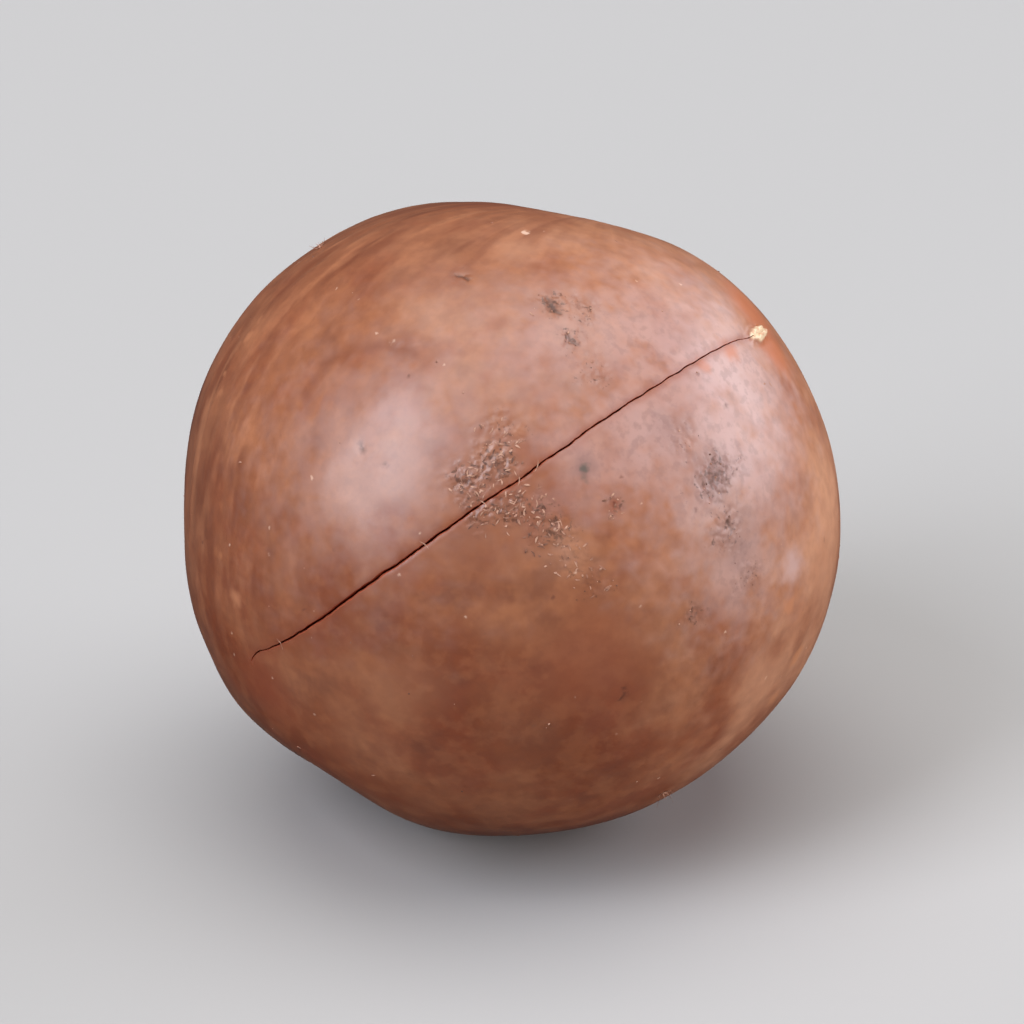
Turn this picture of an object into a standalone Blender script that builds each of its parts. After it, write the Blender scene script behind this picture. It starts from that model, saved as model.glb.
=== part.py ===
"""A macadamia nut in its shell, split along the seam and resting on a small flat spot.

Units are metres and +Z is up. The nut is looked at from -Y. Its origin is the middle of the
underside of its bounding box, on the surface that it rests on. The shell grew as one piece, so it
is one solid: a slightly lopsided ball, with the scar where it hung in its husk at one end, the small
round pore that the root would leave by at the other, and the split in between.
"""

import math

import bmesh
import bpy
from mathutils import Vector, noise

# Driving dimensions
SHELL_RADIUS = 0.0125
SHELL_WALL = 0.0024
FOOT_DEPTH = 0.00036

# The ends of the nut, as directions from its middle
PORE = Vector((0.755, -0.066, 0.652)).normalized()
SCAR = -PORE

# Swells and dents of the ball: direction, height, and the angle over which it dies away
SWELLS = (
    (SCAR, 0.00040, 26),
    (Vector((0.98, -0.08, -0.15)), 0.00030, 34),
    (Vector((-0.80, 0.27, 0.52)), 0.00026, 30),
    (Vector((-1.00, 0.04, 0.08)), -0.00014, 14),
    (Vector((0.20, 0.46, 0.86)), -0.00078, 24),
    (Vector((0.04, 0.47, 0.88)), -0.00020, 8),
    (Vector((-0.57, -0.39, -0.72)), -0.00064, 12),
    (Vector((0.05, -0.47, -0.88)), -0.00018, 22),
    (Vector((-0.35, 0.90, -0.20)), -0.00030, 26),
    (Vector((0.55, 0.80, -0.25)), 0.00024, 24),
)
WAVE_HEIGHT = 0.00008
WAVE_SCALE = 2.6

# The scar is a shallow round bed with a raised rim
SCAR_RADIUS = 0.0030
SCAR_DEPTH = 0.00022
SCAR_RIM_HEIGHT = 0.00010
SCAR_RIM_WIDTH = 0.0006

# The pore is a low oval button, longer along the seam than across it
PORE_RADIUS = 0.00034
PORE_STRETCH = 2.0
PORE_HEIGHT = 0.00022
PORE_TAPER = 0.8

# The split lies in a plane that misses the middle of the nut by a little. Its angles are measured
# in that plane from SPLIT_FRONT, positive towards the pore.
SPLIT_NORMAL = Vector((-0.574, 0.384, 0.723)).normalized()
SPLIT_FRONT = Vector((0.0, -0.883, 0.469)).normalized()
SPLIT_OFFSET = 0.00083
SPLIT_FROM = math.radians(-62)
SPLIT_TO = math.radians(65.5)
SPLIT_WIDTH = 0.00020
SPLIT_END_WIDTH = 0.00005
SPLIT_FLOOR_SHARE = 0.55
SPLIT_END_DEPTH = 0.0007
SPLIT_DROP_AT_PORE = 0.00058
SPLIT_RISE_AT_FAR_END = 0.00055
SPLIT_KINK = 0.00008

# Mesh fineness
SEGMENTS = 72
RINGS = 46
SPLIT_STEPS = 72
SPLIT_OVERSHOOT = 0.0012


def linear(red, green, blue):
    """A colour given as 0 to 255 screen values, in the linear values that a shader takes."""
    return [((c / 255 + 0.055) / 1.055) ** 2.4 if c > 10 else c / 255 / 12.92 for c in (red, green, blue)]


def clear_scene():
    for old in list(bpy.data.objects):
        bpy.data.objects.remove(old)


def collection(name):
    made = bpy.data.collections.new(name)
    bpy.context.scene.collection.children.link(made)
    return made


def shell_material():
    made = bpy.data.materials.new("roasted_shell")
    made.use_nodes = True
    shader = made.node_tree.nodes["Principled BSDF"]
    shader.inputs["Base Color"].default_value = (*linear(162, 108, 88), 1)
    shader.inputs["Roughness"].default_value = 0.42
    shader.inputs["Metallic"].default_value = 0.0
    return made


def scar_relief(angle):
    """Height of the scar's bed and rim at this angle from the scar's middle."""
    out = angle * SHELL_RADIUS
    bed = -SCAR_DEPTH / (1 + math.exp((out - SCAR_RADIUS) / (0.25 * SCAR_RIM_WIDTH)))
    rim = SCAR_RIM_HEIGHT * math.exp(-(((out - SCAR_RADIUS - SCAR_RIM_WIDTH) / SCAR_RIM_WIDTH) ** 2))
    return bed + rim


def shell_radius(direction):
    """Distance from the nut's middle to the shell's surface in this direction."""
    radius = SHELL_RADIUS + WAVE_HEIGHT * noise.noise(direction * WAVE_SCALE)
    for middle, height, spread in SWELLS:
        radius += height * math.exp(-((direction.angle(middle) / math.radians(spread)) ** 2))
    return radius + scar_relief(direction.angle(SCAR))


def raise_pore(bm):
    """Insets the fan of faces round the pole that stands for the pore, and lifts it into an oval button."""
    pole = max(bm.verts, key=lambda v: v.co.normalized().dot(PORE))
    middle = pole.co.copy()
    seam_way = SPLIT_NORMAL.cross(PORE).normalized()
    fan = list(pole.link_faces)
    ring = pole.link_edges[0].calc_length()
    bmesh.ops.inset_region(bm, faces=fan, thickness=ring - PORE_RADIUS, use_even_offset=True)
    for v in {v for face in fan for v in face.verts}:
        v.co += seam_way * seam_way.dot(v.co - middle) * (PORE_STRETCH - 1)
    lifted = bmesh.ops.extrude_face_region(bm, geom=fan)
    bmesh.ops.delete(bm, geom=fan, context="FACES_ONLY")
    for v in [v for v in lifted["geom"] if isinstance(v, bmesh.types.BMVert)]:
        v.co = middle + (v.co - middle) * PORE_TAPER + PORE * PORE_HEIGHT


def cut_foot(bm):
    """Takes the lowest part of the round underside off, which leaves the flat spot."""
    level = min(v.co.z for v in bm.verts) + FOOT_DEPTH
    everything = bm.verts[:] + bm.edges[:] + bm.faces[:]
    cut = bmesh.ops.bisect_plane(
        bm, geom=everything, plane_co=(0, 0, level), plane_no=(0, 0, -1), clear_outer=True
    )
    rim = [e for e in cut["geom_cut"] if isinstance(e, bmesh.types.BMEdge)]
    bmesh.ops.contextual_create(bm, geom=rim)


def box_shift(bm):
    """The move that puts the middle of the underside of the bounding box at the origin."""
    low = [min(v.co[axis] for v in bm.verts) for axis in range(3)]
    high = [max(v.co[axis] for v in bm.verts) for axis in range(3)]
    return Vector((-(low[0] + high[0]) / 2, -(low[1] + high[1]) / 2, -low[2]))


def finish_mesh(bm, name, into):
    bmesh.ops.recalc_face_normals(bm, faces=bm.faces)
    mesh = bpy.data.meshes.new(name)
    bm.to_mesh(mesh)
    bm.free()
    made = bpy.data.objects.new(name, mesh)
    into.objects.link(made)
    return made


def make_ball(into):
    """The shell's outside, with its pole axis running from the scar to the pore. Returns it and its move."""
    bm = bmesh.new()
    turn = Vector((0, 0, 1)).rotation_difference(PORE).to_matrix().to_4x4()
    bmesh.ops.create_uvsphere(bm, u_segments=SEGMENTS, v_segments=RINGS, radius=SHELL_RADIUS, matrix=turn)
    for v in bm.verts:
        direction = v.co.normalized()
        v.co = direction * shell_radius(direction)
    raise_pore(bm)
    cut_foot(bm)
    move = box_shift(bm)
    bmesh.ops.translate(bm, verts=bm.verts, vec=move)
    return finish_mesh(bm, "macadamia_nut", into), move


def split_sway(along):
    """How far the split strays from its plane; along runs from -1 at its far end to 1 at the pore."""
    ends = SPLIT_RISE_AT_FAR_END * max(0.0, -along) ** 9 - SPLIT_DROP_AT_PORE * max(0.0, along) ** 3.5
    return ends + SPLIT_KINK * noise.noise(Vector((9 * along, 0.4, 7.3)))


def split_profile(along):
    """Width and depth of the split, which pinches and runs shallow towards both of its ends."""
    fullness = (1 - along**2) ** 0.6
    width = SPLIT_END_WIDTH + (SPLIT_WIDTH - SPLIT_END_WIDTH) * fullness
    depth = SPLIT_END_DEPTH + (SHELL_WALL - SPLIT_END_DEPTH) * fullness
    return width, depth


def make_split_blade(move, into):
    """The wedge that is taken out of the shell: a long bar, bent round the nut point by point."""
    bm = bmesh.new()
    bmesh.ops.create_cube(bm, size=2)
    long_edges = [e for e in bm.edges if abs(e.verts[0].co.x - e.verts[1].co.x) > 1]
    bmesh.ops.subdivide_edges(bm, edges=long_edges, cuts=SPLIT_STEPS, use_grid_fill=True)
    side_way = SPLIT_FRONT.cross(SPLIT_NORMAL)
    if side_way.dot(PORE) < 0:
        side_way.negate()
    for v in bm.verts:
        along, side, level = v.co
        width, depth = split_profile(along)
        angle = SPLIT_FROM + (SPLIT_TO - SPLIT_FROM) * (along + 1) / 2
        outward = SPLIT_FRONT * math.cos(angle) + side_way * math.sin(angle)
        reach = shell_radius(outward) + (SPLIT_OVERSHOOT if level > 0 else -depth)
        half = width / 2 * (1 if level > 0 else SPLIT_FLOOR_SHARE)
        v.co = outward * reach + SPLIT_NORMAL * (SPLIT_OFFSET + split_sway(along) + side * half) + move
    blade = finish_mesh(bm, "split_blade", into)
    blade.hide_render = True
    blade.display_type = "WIRE"
    return blade


def cut_split(nut, blade):
    cut = nut.modifiers.new("split", "BOOLEAN")
    cut.operation = "DIFFERENCE"
    cut.solver = "EXACT"
    cut.object = blade


def main():
    clear_scene()
    parts = collection("macadamia_nut_in_shell")
    cutters = collection("cutters")
    nut, move = make_ball(parts)
    nut.data.materials.append(shell_material())
    nut.data.shade_smooth()
    nut.data.set_sharp_from_angle(angle=math.radians(40))
    cut_split(nut, make_split_blade(move, cutters))


main()
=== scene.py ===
# %% [markdown]
# # A macadamia nut in its shell
# The real nut is a hard, satin, red-brown ball about 25 mm across. It was roasted, and its shell
# has split along the seam, from just below a pale pore nearly to the scar on the other side.
# A plain CAD solid already stands in the frame, and this script dresses it: it builds a fine shell
# of the same form, cuts the split into it, strews it with the crumbs of husk that real shells
# keep, and gives every surface its colour and sheen. The frame is loaded first, because every
# place below is worked out from it.

# %% The tools and the fixed frame
import math
import random

import bmesh
import bpy
from mathutils import Matrix, Vector, noise


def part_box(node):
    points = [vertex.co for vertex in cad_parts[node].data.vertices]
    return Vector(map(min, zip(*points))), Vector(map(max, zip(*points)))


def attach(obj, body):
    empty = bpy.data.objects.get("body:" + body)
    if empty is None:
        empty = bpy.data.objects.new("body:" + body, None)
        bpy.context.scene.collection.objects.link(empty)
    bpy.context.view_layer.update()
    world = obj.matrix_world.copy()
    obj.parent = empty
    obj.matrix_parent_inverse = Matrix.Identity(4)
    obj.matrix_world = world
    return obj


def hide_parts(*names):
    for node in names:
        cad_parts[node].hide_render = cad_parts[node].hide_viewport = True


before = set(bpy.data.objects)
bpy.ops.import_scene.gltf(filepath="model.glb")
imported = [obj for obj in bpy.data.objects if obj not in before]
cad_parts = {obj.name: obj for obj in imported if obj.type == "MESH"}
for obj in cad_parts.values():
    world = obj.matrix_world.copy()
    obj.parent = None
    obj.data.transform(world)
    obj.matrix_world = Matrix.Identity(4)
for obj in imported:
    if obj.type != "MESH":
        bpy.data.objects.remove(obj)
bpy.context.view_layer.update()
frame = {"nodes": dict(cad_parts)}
MM = 0.001
NUT = "macadamia_nut"
nut_low, nut_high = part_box(NUT)
print("The frame holds", ", ".join(frame["nodes"]))
print("The nut's CAD solid measures", [round(s / MM, 2) for s in nut_high - nut_low], "mm")

# %% [markdown]
# ## The camera
# The nut is looked at from the front and 28 degrees above the table, which is the angle at which
# the photograph was taken. A long lens keeps the ball round, as in a close photograph taken from
# a little way off.

# %% A camera at the photograph's angle
VIEW_ELEVATION = math.radians(28)
VIEW_RIGHT = Vector((1, 0, 0))
VIEW_UP = Vector((0, math.sin(VIEW_ELEVATION), math.cos(VIEW_ELEVATION)))
VIEW_BACK = Vector((0, -math.cos(VIEW_ELEVATION), math.sin(VIEW_ELEVATION)))
LENS = 180
SENSOR = 36
NUT_SHARE_OF_FRAME = 0.64

nut_middle = (nut_low + nut_high) / 2
nut_width = nut_high.x - nut_low.x
camera_data = bpy.data.cameras.new("camera")
camera_data.lens = LENS
camera_data.sensor_width = SENSOR
camera_data.clip_start = 10 * MM
camera = bpy.data.objects.new("camera", camera_data)
bpy.context.scene.collection.objects.link(camera)
camera_distance = nut_width / NUT_SHARE_OF_FRAME * LENS / SENSOR
camera.location = nut_middle + VIEW_BACK * camera_distance
camera.rotation_euler = VIEW_BACK.to_track_quat("Z", "Y").to_euler()
bpy.context.scene.camera = camera
print(f"The camera stands {camera_distance:.3f} m off")

# %% [markdown]
# ## The form of the shell
# A macadamia is nearly a ball, but not quite: it swells a little at the end where it hung in its
# husk, and it has broad flats. A lathe would make it too even, and sculpting can't be written down.
# So the form is a rule: the distance from the middle to the surface in any direction, as a plain
# radius with soft swells and dents added. The solid in the frame follows the same rule.

# %% Swells and dents
SHELL_RADIUS = 12.5 * MM
PORE = Vector((0.755, -0.066, 0.652)).normalized()
SCAR = -PORE
SWELLS = (
    (SCAR, 0.40 * MM, 26),
    (Vector((0.98, -0.08, -0.15)), 0.30 * MM, 34),
    (Vector((-0.80, 0.27, 0.52)), 0.26 * MM, 30),
    (Vector((-1.00, 0.04, 0.08)), -0.14 * MM, 14),
    (Vector((0.20, 0.46, 0.86)), -0.78 * MM, 24),
    (Vector((0.04, 0.47, 0.88)), -0.20 * MM, 8),
    (Vector((-0.57, -0.39, -0.72)), -0.64 * MM, 12),
    (Vector((0.05, -0.47, -0.88)), -0.18 * MM, 22),
    (Vector((-0.35, 0.90, -0.20)), -0.30 * MM, 26),
    (Vector((0.55, 0.80, -0.25)), 0.24 * MM, 24),
)
WAVE_HEIGHT = 0.08 * MM
WAVE_SCALE = 2.6


def bell(distance, spread):
    """A smooth hump: 1 in the middle, and nearly 0 at twice the spread."""
    return math.exp(-((distance / spread) ** 2))


def shell_form(direction):
    """Distance from the nut's middle to its surface, without the fine relief."""
    radius = SHELL_RADIUS + WAVE_HEIGHT * noise.noise(direction * WAVE_SCALE)
    for middle, height, spread in SWELLS:
        radius += height * bell(direction.angle(middle), math.radians(spread))
    return radius


# %% [markdown]
# ## Where the marks are
# The split, the crusty patches and the spots sit where the photograph shows them. A place is
# given as it is seen: how far right and up of the nut's middle, in radii. One short function turns
# that into a direction on the ball. The hidden side gets marks of its own, drawn with a fixed
# seed, because the real shell carries them all round.

# %% Places on the shell
SEED = 7


def seen_at(right, up):
    """The direction of a spot on the near side, seen this many radii right and up of the middle."""
    toward = math.sqrt(max(0.0, 1 - right * right - up * up))
    return (VIEW_RIGHT * right + VIEW_UP * up + VIEW_BACK * toward).normalized()


def hidden_directions(count, draw):
    """Directions on the far half, which the camera doesn't see."""
    found = []
    while len(found) < count:
        way = Vector([draw.uniform(-1, 1) for _ in range(3)])
        if 0.1 < way.length < 1 and way.normalized().dot(VIEW_BACK) < -0.05:
            found.append(way.normalized())
    return found


hidden_draw = random.Random(SEED)

# %% [markdown]
# Four kinds of mark spread over an area, so they are regions: a middle, a radius and a strength.
# Crust is what is left of the husk: rough scurf, pits and fibres. Haze is the pinkish grey film
# round it, and it is laid partly where the shell's sheen lies, so it is partly painted sheen. The pale
# zones are tan and smooth; they lie on the top and the right rim, where light falls strongest, so
# they are partly the shell's own tan and partly painted light. Streaky zones carry fine ribs and
# bands, which curve with the ball's outline. A few rows of numbers are enough, where painting would
# need an image.

# %% Crust by the split and elsewhere
def seen_regions(*rows):
    """Regions from rows that hold: right, up, radius in millimetres, strength."""
    return [(seen_at(right, up), radius * MM, strength) for right, up, radius, strength in rows]


SPLIT_CRUST = seen_regions(
    (-0.11, 0.10, 0.85, 0.9),
    (-0.03, 0.14, 1.00, 1.0),
    (-0.01, 0.25, 1.20, 0.5),
    (-0.09, 0.01, 0.85, 1.0),
    (0.00, 0.02, 1.00, 1.0),
    (0.07, 0.02, 0.80, 0.8),
    (0.13, -0.04, 1.05, 0.85),
    (0.18, -0.12, 1.10, 0.6),
    (0.26, -0.19, 1.00, 0.5),
    (0.31, 0.03, 0.45, 0.8),
)
OTHER_CRUST = seen_regions(
    (0.13, 0.61, 0.70, 1.0),
    (0.19, 0.51, 0.60, 0.9),
    (0.22, 0.60, 0.90, 0.7),
    (0.25, 0.42, 1.10, 0.5),
    (0.60, 0.12, 1.25, 1.0),
    (0.52, 0.22, 1.20, 0.5),
    (0.64, -0.04, 1.10, 0.7),
    (0.71, -0.18, 1.00, 0.6),
    (0.54, -0.29, 0.70, 0.7),
    (-0.13, 0.70, 0.50, 0.6),
    (0.11, -0.62, 0.80, 0.4),
)

# %% Haze with painted sheen, pale zones with painted light, and streaky zones
# Partly a grey film, and partly painted sheen where the windows' reflections lie.
HAZE_AND_SHEEN = seen_regions(
    (0.66, 0.42, 3.4, 1.0),
    (0.64, 0.16, 3.4, 1.0),
    (0.42, 0.50, 3.0, 0.8),
    (0.42, 0.24, 2.6, 0.9),
    (0.69, -0.14, 2.2, 0.8),
    (0.18, 0.50, 2.6, 0.5),
    (0.22, 0.15, 2.0, 0.7),
    (-0.04, 0.08, 2.4, 0.25),
    # Painted sheen: this one lies on the left window's reflection.
    (-0.40, 0.16, 4.0, 0.4),
)
# Paler zones on the top and the right rim, where light falls strongest: partly the shell's own tan, partly
# painted light.
PALE_AND_LIT_ZONES = seen_regions(
    (0.95, 0.08, 3.4, 1.0),
    (0.88, -0.30, 4.4, 1.0),
    (0.76, -0.58, 3.0, 0.7),
    (0.56, 0.78, 4.0, 0.9),
    (0.08, 0.82, 3.0, 0.7),
    (-0.25, 0.76, 2.6, 0.5),
)
PALE_AND_LIT_ZONES.append((Vector((0.5, 0.8, 0.1)).normalized(), 6.0 * MM, 0.7))
SEEN_STREAKY = seen_regions(
    (-0.88, 0.22, 6.0, 1.0),
    (-0.52, 0.80, 4.6, 1.0),
    (-0.12, 0.93, 4.4, 0.9),
    (0.92, -0.36, 2.6, 0.7),
)
STREAKY = SEEN_STREAKY + [(Vector((-0.2, 0.95, -0.1)).normalized(), 8.0 * MM, 0.8)]

# %% Crust and haze on the far half
HIDDEN_PATCHES = 12
HAZY_SHARE = 0.6

hidden_crust = []
for place in hidden_directions(HIDDEN_PATCHES, hidden_draw):
    hidden_crust.append((place, hidden_draw.uniform(0.4, 1.1) * MM, hidden_draw.uniform(0.5, 1.0)))
    if hidden_draw.random() < HAZY_SHARE:
        HAZE_AND_SHEEN.append((place, hidden_draw.uniform(1.2, 2.6) * MM, hidden_draw.uniform(0.4, 1.0)))
CRUST = SPLIT_CRUST + OTHER_CRUST + hidden_crust
print(len(CRUST), "crusty patches and", len(HAZE_AND_SHEEN), "hazy ones")

# %% How deep inside a region a place lies
REACH = 2.2
EDGE_COARSE = 15
EDGE_FINE = 38


def region_amount(direction, regions, raggedness):
    """How deep inside any of the regions this direction lies, from 0 to 1."""
    most = 0.0
    for middle, radius, strength in regions:
        apart = (direction - middle).length * SHELL_RADIUS
        if apart < REACH * radius:
            edge = noise.noise(direction * EDGE_COARSE + middle * 5) + noise.noise(direction * EDGE_FINE)
            most = max(most, strength * bell(apart, radius * (1 + raggedness * edge)))
    return most


# %% [markdown]
# ## The split
# The shell cracked along its seam, so the split runs nearly in a plane, pinches at both ends, and
# strays from the plane in small kinks. All that is asked of it below is written as functions of one
# number, `along`, from -1 at the far end to 1 beside the pore. The lips are rounded a
# little, and for that each point of the shell needs its distance from the split.

# %% The line of the split
SPLIT_NORMAL = Vector((-0.574, 0.384, 0.723)).normalized()
SPLIT_FRONT = Vector((0.0, -0.883, 0.469)).normalized()
SPLIT_SIDE = SPLIT_NORMAL.cross(SPLIT_FRONT)
if SPLIT_SIDE.dot(PORE) < 0:
    SPLIT_SIDE.negate()
SPLIT_OFFSET = 0.83 * MM
SPLIT_FROM = math.radians(-62)
SPLIT_TO = math.radians(65.5)
SPLIT_WIDTH = 0.080 * MM
SPLIT_PORE_SIDE_SHARE = 0.45
SPLIT_END_WIDTH = 0.03 * MM
SPLIT_DEPTH = 2.4 * MM
SPLIT_END_DEPTH = 0.7 * MM
SPLIT_DROP_AT_PORE = 0.58 * MM
SPLIT_RISE_AT_FAR_END = 0.55 * MM
SPLIT_KINK = 0.08 * MM
SPLIT_HOOK = 0.40 * MM


def split_sway(along):
    """How far the split strays from its plane: its curved ends, wide kinks and small jogs."""
    ends = SPLIT_RISE_AT_FAR_END * max(0.0, -along) ** 9 - SPLIT_DROP_AT_PORE * max(0.0, along) ** 3.5
    hook = SPLIT_HOOK * min(0.0, along + 0.93) ** 2 / 0.07**2
    kink = SPLIT_KINK * noise.noise(Vector((9 * along, 0.4, 7.3)))
    jogs = 0.45 * SPLIT_KINK * noise.noise(Vector((27 * along, 2.2, 0.9)))
    return ends - hook + kink + jogs


def split_fullness(along):
    """0 at the ends of the split and 1 in its middle; it pinches later at the far end."""
    return max(0.0, 1 - abs(along) ** (4 if along < 0 else 2)) ** 0.6


def split_outward(along):
    """The direction, within the split's plane, of this place along the split."""
    angle = SPLIT_FROM + (SPLIT_TO - SPLIT_FROM) * (along + 1) / 2
    return SPLIT_FRONT * math.cos(angle) + SPLIT_SIDE * math.sin(angle)


def split_distance(direction):
    """Distance along the shell from this direction to the split."""
    angle = math.atan2(direction.dot(SPLIT_SIDE), direction.dot(SPLIT_FRONT))
    along = 2 * (angle - SPLIT_FROM) / (SPLIT_TO - SPLIT_FROM) - 1
    inside = min(1.0, max(-1.0, along))
    across = direction.dot(SPLIT_NORMAL) * SHELL_RADIUS - SPLIT_OFFSET - split_sway(inside)
    beyond = (abs(along) - abs(inside)) * (SPLIT_TO - SPLIT_FROM) / 2 * SHELL_RADIUS
    return math.hypot(across, beyond)


# %% [markdown]
# ## The fine relief
# Light shows what a drawing would not: faint swellings a few millimetres wide, ribs under a
# millimetre wide, a rough crust in the patches, and a small pale button where the pore is. They
# could be faked with a bump texture, but true relief also bends the outline and the highlights'
# edges, and it stays in an exported mesh. The ribs run like the lines of longitude of a globe
# whose pole is RIB_POLE.

# %% Waves and ribs
def soft_waves(direction):
    """Faint swellings, some 3 and some 1 mm wide."""
    broad = 0.040 * MM * noise.noise(direction * 4.1 + Vector((3, 1, 8)))
    narrow = 0.009 * MM * noise.noise(direction * 11 + Vector((5, 9, 2)))
    return broad + narrow


RIB_POLE = seen_at(0.30, 0.95)


def round_angle(direction, pole):
    """Angle of this direction round the line through the pole."""
    sideways = pole.orthogonal().normalized()
    return math.atan2(direction.dot(pole.cross(sideways)), direction.dot(sideways))


def ribs(direction):
    """Ribs in the streaky zones, each less than a millimetre wide."""
    amount = region_amount(direction, STREAKY, 0.3)
    if amount < 0.02:
        return 0.0
    turn = round_angle(direction, RIB_POLE)
    wide = Vector((13 * math.cos(turn), 13 * math.sin(turn), 3.5 * direction.dot(RIB_POLE)))
    return 0.050 * MM * amount * noise.noise(wide) + 0.014 * MM * amount * noise.noise(wide * 2.3)


# %% [markdown]
# On the left the skin has a soft fold, a groove that curls round a small pale bump and bounds the
# window's reflection. It is drawn as a line through a few directions. The scratches are short lines
# of the same kind, thinner and shallower.

# %% The fold and the scratches
FOLD = [
    seen_at(*place) for place in ((-0.60, 0.35), (-0.53, 0.45), (-0.45, 0.49), (-0.35, 0.50), (-0.28, 0.47))
]
FOLD_DEPTH = 0.11 * MM
FOLD_WIDTH = 0.60 * MM
FOLD_BUMP = seen_at(-0.335, 0.505)
SCRATCHES = [
    [seen_at(*place) for place in line]
    for line in (
        ((0.115, 0.635), (0.135, 0.60), (0.155, 0.590)),
        ((0.175, 0.53), (0.185, 0.505), (0.205, 0.495)),
        ((0.640, -0.02), (0.655, -0.045)),
        ((0.330, -0.545), (0.345, -0.525), (0.340, -0.505)),
        ((-0.150, 0.705), (-0.130, 0.700), (-0.115, 0.690)),
        ((-0.362, 0.148), (-0.358, 0.144)),
        ((-0.432, 0.205), (-0.420, 0.190)),
    )
]
SCRATCH_WIDTH = 0.075 * MM
SCRATCH_DEPTH = 0.040 * MM


def line_distance(direction, line):
    """Distance along the shell to a line through these directions."""
    nearest = 1.0
    for start, end in zip(line, line[1:]):
        step = end - start
        share = min(1.0, max(0.0, (direction - start).dot(step) / step.length_squared))
        nearest = min(nearest, (direction - start - step * share).length)
    return nearest * SHELL_RADIUS


def fold(direction):
    if (direction - FOLD[2]).length > 0.4:
        return 0.0
    bump = 0.07 * MM * bell((direction - FOLD_BUMP).length * SHELL_RADIUS, 0.16 * MM)
    return bump - FOLD_DEPTH * bell(line_distance(direction, FOLD), FOLD_WIDTH)


def scratch_amount(direction):
    near = [line for line in SCRATCHES if (direction - line[0]).length < 0.12]
    return max((bell(line_distance(direction, line), SCRATCH_WIDTH) for line in near), default=0.0)


# %% [markdown]
# The crust is raised and pitted. The lips of the split are worn a little, so they are lowered
# right beside it.

# %% Crust and lips
LIP_DROP = 0.025 * MM
LIP_WIDTH = 0.12 * MM
GRAIN_SIZE = 0.105 * MM


def crust(direction, amount):
    """Grains, flakes and pits of the husk that is left on the shell."""
    if amount < 0.03:
        return 0.0
    grains = noise.noise(direction * (SHELL_RADIUS / GRAIN_SIZE) + Vector((1, 4, 6)))
    flakes = noise.noise(direction * (SHELL_RADIUS / GRAIN_SIZE / 2.7) + Vector((2, 2, 7)))
    return amount * MM * (0.030 * grains + 0.050 * flakes)


def lips(distance):
    return -LIP_DROP * bell(distance, LIP_WIDTH)


# %% [markdown]
# The pore is where the root would leave: a pale knob half a millimetre wide and three times as
# long, with a cleft along it. The scar at the other end is where the nut hung. Its bed is sunken,
# torn into fibres that run outwards, and has a raised rim.

# %% Pore and scar
PORE_RADIUS = 0.30 * MM
PORE_STRETCH = 3.0
PORE_HEIGHT = 0.22 * MM
PORE_CLEFT = 0.06 * MM
SCAR_RADIUS = 3.0 * MM
SCAR_DEPTH = 0.22 * MM
SCAR_RIM_HEIGHT = 0.10 * MM
SCAR_RIM_WIDTH = 0.6 * MM
seam_way = SPLIT_NORMAL.cross(PORE).normalized()


def pore_share(direction):
    """Distance from the pore's middle, where 1 is its ragged edge. It is oval along the seam."""
    offset = (direction - PORE) * SHELL_RADIUS
    if offset.length > 2 * MM:
        return 9.0
    oval = math.hypot(offset.dot(seam_way) / PORE_STRETCH, offset.dot(SPLIT_NORMAL)) / PORE_RADIUS
    return oval / (1 + 0.30 * noise.noise(direction * 34) * bell(max(0.0, oval - 1), 0.5))


def pore_knob(direction):
    share = pore_share(direction)
    if share > 4:
        return 0.0
    lumps = 1 + 0.35 * noise.noise(direction * 70)
    cleft = bell((direction - PORE).dot(SPLIT_NORMAL) * SHELL_RADIUS - 0.07 * MM, PORE_CLEFT)
    moat = 0.03 * MM * bell(share - 1.6, 0.5)
    return PORE_HEIGHT * math.exp(-(share**4)) * lumps * (1 - 0.6 * cleft) - moat


def scar_bed(direction):
    out = direction.angle(SCAR) * SHELL_RADIUS
    if out > 2 * SCAR_RADIUS:
        return 0.0
    turn = round_angle(direction, SCAR)
    ragged = 0.25 * MM * noise.noise(Vector((2.2 * math.cos(turn), 2.2 * math.sin(turn), 3.3)))
    inside = 1 / (1 + math.exp((out - SCAR_RADIUS - ragged) / (0.2 * SCAR_RIM_WIDTH)))
    rim = SCAR_RIM_HEIGHT * bell(out - SCAR_RADIUS - ragged - SCAR_RIM_WIDTH, SCAR_RIM_WIDTH)
    fibres = 0.05 * MM * noise.noise(Vector((9 * math.cos(turn), 9 * math.sin(turn), out / MM)))
    knots = 0.05 * MM * noise.noise(direction * 38)
    return inside * (fibres + knots - SCAR_DEPTH) + rim


def shell_radius(direction):
    """Distance from the nut's middle to the finished surface in this direction."""
    radius = shell_form(direction) + soft_waves(direction) + ribs(direction) + fold(direction)
    radius += crust(direction, region_amount(direction, CRUST, 0.5))
    radius += lips(split_distance(direction)) - SCRATCH_DEPTH * scratch_amount(direction)
    return radius + pore_knob(direction) + scar_bed(direction)


# %% [markdown]
# ## The shell's mesh
# An icosphere has even triangles and no poles, so relief looks the same everywhere on it. Its
# edges are a fifth of a millimetre long, too coarse for the split's lips, the pore and the
# crust. Each time that it is all divided costs four times the faces, so only the edges near those
# features are divided, once or twice. Then every vertex is moved out to the surface.

# %% An icosphere, finer where it matters
SUBDIVISIONS = 7
FOOT_DEPTH = 0.36 * MM


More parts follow.
